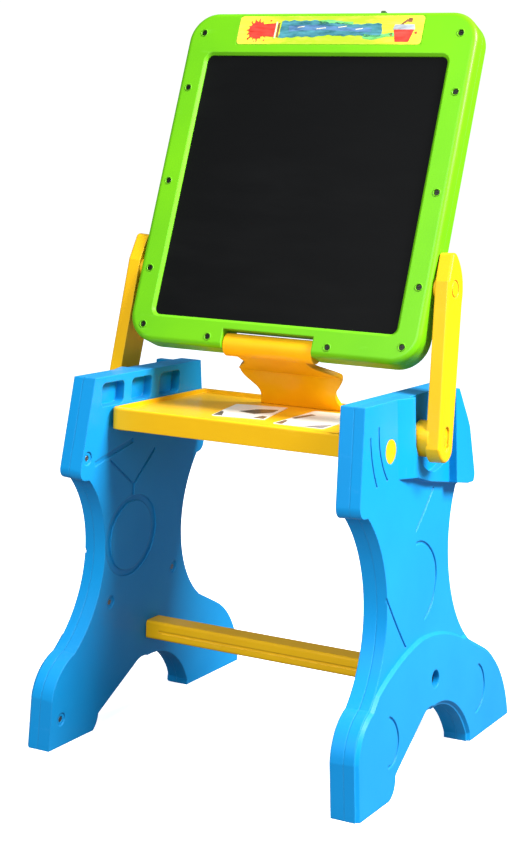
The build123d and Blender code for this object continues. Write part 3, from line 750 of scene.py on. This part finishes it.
class EASEL_OT_header(bpy.types.Operator):
    """Printed header label: splash, brush, stroke of paint and a paint pot."""

    bl_idname = "easel.header"
    bl_label = "Header label"

    def execute(self, context):
        s, b = context.scene.easel_label, context.scene.easel_board
        dress("header_label", label_film(s))
        place = board_place(b.tilt) @ Matrix.Translation((0, s.height, BOARD_FRONT + LABEL_LIFT))
        rng = random.Random(11)
        red = printed_ink("red_ink", tuple(s.red), 1.5)
        teal = printed_ink("teal_ink", tuple(s.teal), 2.2)
        blue = printed_ink("blue_ink", tuple(s.blue), 1.7)
        cream = printed_ink("cream_ink", tuple(s.cream), 1.1)
        brown = printed_ink("brown_ink", tuple(s.brown), 1.5)
        grey = printed_ink("grey_ink", tuple(s.grey), 1.6)
        lime = printed_ink("lime_ink", tuple(s.leaf), 1.8)

        def red_splash(shape):
            splash(shape, (-0.107, 0.000), 0.0126, 15, rng, s.film, 0.98)
            for x, y, r in ((-0.119, -0.0125, 0.0014), (-0.088, 0.0135, 0.0012), (-0.094, -0.0145, 0.0011),
                            (-0.117, 0.0120, 0.0009), (-0.109, -0.0158, 0.0008)):
                splash(shape, (x, y), r, 3, rng, s.film)

        def ferrule(shape):
            patch(shape, [(-0.098, -0.0085), (-0.0785, -0.0100), (-0.0785, 0.0100), (-0.098, 0.0085)],
                  s.film * 1.4)

        def ferrule_end(shape):
            patch(shape, [(-0.0765, -0.0102), (-0.0735, -0.0104), (-0.0735, 0.0104), (-0.0765, 0.0102)],
                  s.film * 1.3)

        def cream_lines(shape):
            patch(shape, [(-0.0795, -0.0118), (-0.0775, -0.0118), (-0.0775, 0.0118), (-0.0795, 0.0118)],
                  s.film * 1.8)
            dashes = (-0.046, 0.003, 0.010), (-0.018, 0.001, 0.014), (0.014, 0.003, 0.012), (0.040, 0.0, 0.010)
            for x, y, w in dashes:
                patch(shape, [(x, y), (x + w, y + 0.0016), (x + w, y + 0.0026), (x, y + 0.0010)], s.film * 2)

        def stroke(shape):
            brush_stroke(shape, -0.0715, 0.0780, 0.0225, 0.0008, 0.0012, rng, s.film)

        def wet_edge(shape):
            brush_stroke(shape, -0.0600, 0.0620, 0.0075, 0.0018, 0.0016, rng, s.film * 1.5)

        def green_tail(shape):
            brush_stroke(shape, 0.0520, 0.0960, 0.0060, -0.0085, -0.0020, rng, s.film)
            brush_stroke(shape, -0.0150, 0.0350, 0.0050, 0.0105, 0.0012, rng, s.film)

        def pot(shape):
            patch(shape, [(0.0990, -0.0165), (0.1180, -0.0165), (0.1235, 0.0010), (0.0945, 0.0010)], s.film)
            splash(shape, (0.0920, -0.0065), 0.0020, 3, rng, s.film)
            splash(shape, (0.1265, -0.0040), 0.0017, 3, rng, s.film)

        def pot_rim(shape):
            patch(shape, [(0.0935, 0.0004), (0.1245, 0.0004), (0.1225, 0.0075), (0.0955, 0.0075)], s.film * 1.5)

        def pot_brush(shape):
            patch(shape, [(0.1020, 0.0070), (0.1055, 0.0070), (0.1145, 0.0130), (0.1115, 0.0150)], s.film * 1.2)
            splash(shape, (0.1160, 0.0135), 0.0030, 4, rng, s.film * 1.2)

        for name, draw, ink in (
            ("label_splash", red_splash, red), ("label_ferrule", ferrule, red),
            ("label_ferrule_end", ferrule_end, brown), ("label_stroke", stroke, teal),
            ("label_wet_edge", wet_edge, blue), ("label_tail", green_tail, lime),
            ("label_lines", cream_lines, cream), ("label_pot", pot, red),
            ("label_pot_rim", pot_rim, grey), ("label_pot_brush", pot_brush, brown),
        ):
            printed(name, draw, place, "board", "printed_label", ink, s.film)
        return {"FINISHED"}


class EASEL_OT_studio(bpy.types.Operator):
    """Pale floor, soft lights and the camera."""

    bl_idname = "easel.studio"
    bl_label = "Studio"

    def execute(self, context):
        s = context.scene.easel_studio
        scene = context.scene
        scene.view_settings.view_transform = "Standard"
        ground, tree, surface = blank("studio_floor", Roughness=0.9, Specular_IOR_Level=0.0)
        where = put(tree, "ShaderNodeTexCoord", "place", (-700, 0)).outputs["Object"]
        mottled = stretch(tree, "mottled", (-200, 0), noise(tree, "paper", (-460, 0), where, 3.0), 0.3, 0.7)
        base = blend(tree, "floor colour", (60, 0), mottled, tuple(s.floor), tuple(0.98 * c for c in s.floor))
        wire(tree, base, surface.inputs["Base Color"])
        seen = put(tree, "ShaderNodeLightPath", "light path", (60, -300)).outputs["Is Camera Ray"]
        glow = put(tree, "ShaderNodeEmission", "studio glow", (700, -420), Strength=0.80)
        dim = put(tree, "ShaderNodeBsdfDiffuse", "floor as the object sees it", (700, -620),
                  Color=(0.20, 0.21, 0.22, 1))
        lit = tree.nodes.new("ShaderNodeAddShader")
        wire(tree, surface.outputs[0], lit.inputs[0])
        wire(tree, glow.outputs[0], lit.inputs[1])
        choose = tree.nodes.new("ShaderNodeMixShader")
        wire(tree, seen, choose.inputs[0])
        wire(tree, dim.outputs[0], choose.inputs[1])
        wire(tree, lit.outputs[0], choose.inputs[2])
        wire(tree, choose.outputs[0], tree.nodes["Material Output"].inputs["Surface"])
        shape = bmesh.new()
        bmesh.ops.create_grid(shape, x_segments=8, y_segments=8, size=s.floor_size / 2)
        mesh = bpy.data.meshes.new("floor")
        shape.to_mesh(mesh)
        shape.free()
        mesh.materials.append(ground)
        floor = bpy.data.objects.new("floor", mesh)
        scene.collection.objects.link(floor)

        world = bpy.data.worlds.new("studio_room")
        world.use_nodes = True
        scene.world = world
        room = world.node_tree
        even = room.nodes["Background"]
        even.inputs["Color"].default_value = (0.72, 0.93, 1.24, 1)
        even.inputs["Strength"].default_value = s.sky
        back = put(room, "ShaderNodeBackground", "white backdrop", (0, -200), Color=(1, 1, 1, 1), Strength=1.05)
        pick = room.nodes.new("ShaderNodeMixShader")
        rays = room.nodes.new("ShaderNodeLightPath").outputs
        mirrored = put(room, "ShaderNodeBackground", "room in the gloss", (0, -400),
                       Color=(1, 1, 1, 1), Strength=0.08)
        gloss = room.nodes.new("ShaderNodeMixShader")
        wire(room, rays["Is Glossy Ray"], gloss.inputs[0])
        wire(room, even.outputs[0], gloss.inputs[1])
        wire(room, mirrored.outputs[0], gloss.inputs[2])
        wire(room, rays["Is Camera Ray"], pick.inputs[0])
        wire(room, gloss.outputs[0], pick.inputs[1])
        wire(room, back.outputs[0], pick.inputs[2])
        wire(room, pick.outputs[0], room.nodes["World Output"].inputs["Surface"])

        middle = (Vector(CAD_BOX[0]) + Vector(CAD_BOX[1])) / 2
        for name, (toward, distance), power, size in (
            ("key_light", KEY_FROM, s.key_power, s.key_size),
            ("fill_light", FILL_FROM, s.fill_power, FILL_SIZE),
        ):
            lamp = bpy.data.lights.new(name, "AREA")
            lamp.energy = power
            lamp.size = size
            lamp.specular_factor = LAMP_GLOSS
            thing = bpy.data.objects.new(name, lamp)
            away = Vector(toward).normalized()
            thing.location = middle + away * distance
            thing.rotation_euler = away.to_track_quat("Z", "Y").to_euler()
            scene.collection.objects.link(thing)

        lens = bpy.data.cameras.new("camera")
        lens.lens = s.lens
        lens.sensor_width = 36
        lens.clip_end = 50
        level_share = math.cos(s.pitch)
        ahead = Vector((-math.sin(s.yaw) * level_share, math.cos(s.yaw) * level_share, -math.sin(s.pitch)))
        level = Vector((math.cos(s.yaw), math.sin(s.yaw), 0))
        above = level.cross(ahead)
        right = level * math.cos(s.roll) + above * math.sin(s.roll)
        up = above * math.cos(s.roll) - level * math.sin(s.roll)
        turned = Matrix((right, up, -ahead)).transposed().to_4x4()
        eye = bpy.data.objects.new("camera", lens)
        eye.matrix_world = Matrix.Translation(Vector(s.eye)) @ turned
        scene.collection.objects.link(eye)
        scene.camera = eye
        return {"FINISHED"}


class EASEL_PT_sidebar(bpy.types.Panel):
    """Sizes, colours and buttons in the 3D view's sidebar."""

    bl_idname = "EASEL_PT_sidebar"
    bl_label = "Drawing easel"
    bl_space_type = "VIEW_3D"
    bl_region_type = "UI"
    bl_category = "Easel"

    def draw(self, context):
        for settings, title in SETTINGS:
            box = self.layout.box()
            box.label(text=title)
            held = getattr(context.scene, settings)
            for size in held.bl_rna.properties:
                if size.identifier not in ("rna_type", "name"):
                    box.prop(held, size.identifier)
        for maker in MAKERS:
            self.layout.operator(maker.bl_idname)


SETTINGS = (
    ("easel_plastics", "Plastics"),
    ("easel_board", "Board"),
    ("easel_label", "Header label"),
    ("easel_tray", "Cards"),
    ("easel_studio", "Studio"),
)
GROUPS = (EASEL_PG_plastics, EASEL_PG_board, EASEL_PG_label, EASEL_PG_tray, EASEL_PG_studio)
MAKERS = (
    EASEL_OT_studio, EASEL_OT_legs, EASEL_OT_tray, EASEL_OT_cards, EASEL_OT_arms, EASEL_OT_prop,
    EASEL_OT_board, EASEL_OT_header,
)


def register():
    for kind in GROUPS + MAKERS + (EASEL_PT_sidebar,):
        bpy.utils.register_class(kind)
    for (settings, _), kind in zip(SETTINGS, GROUPS):
        setattr(bpy.types.Scene, settings, PointerProperty(type=kind))


def unregister():
    for settings, _ in SETTINGS:
        delattr(bpy.types.Scene, settings)
    for kind in reversed(GROUPS + MAKERS + (EASEL_PT_sidebar,)):
        bpy.utils.unregister_class(kind)


def main():
    register()
    for maker in (bpy.ops.easel.studio, bpy.ops.easel.legs, bpy.ops.easel.tray, bpy.ops.easel.cards,
                  bpy.ops.easel.arms, bpy.ops.easel.prop, bpy.ops.easel.board, bpy.ops.easel.header):
        maker()


if __name__ == "__main__":
    main()
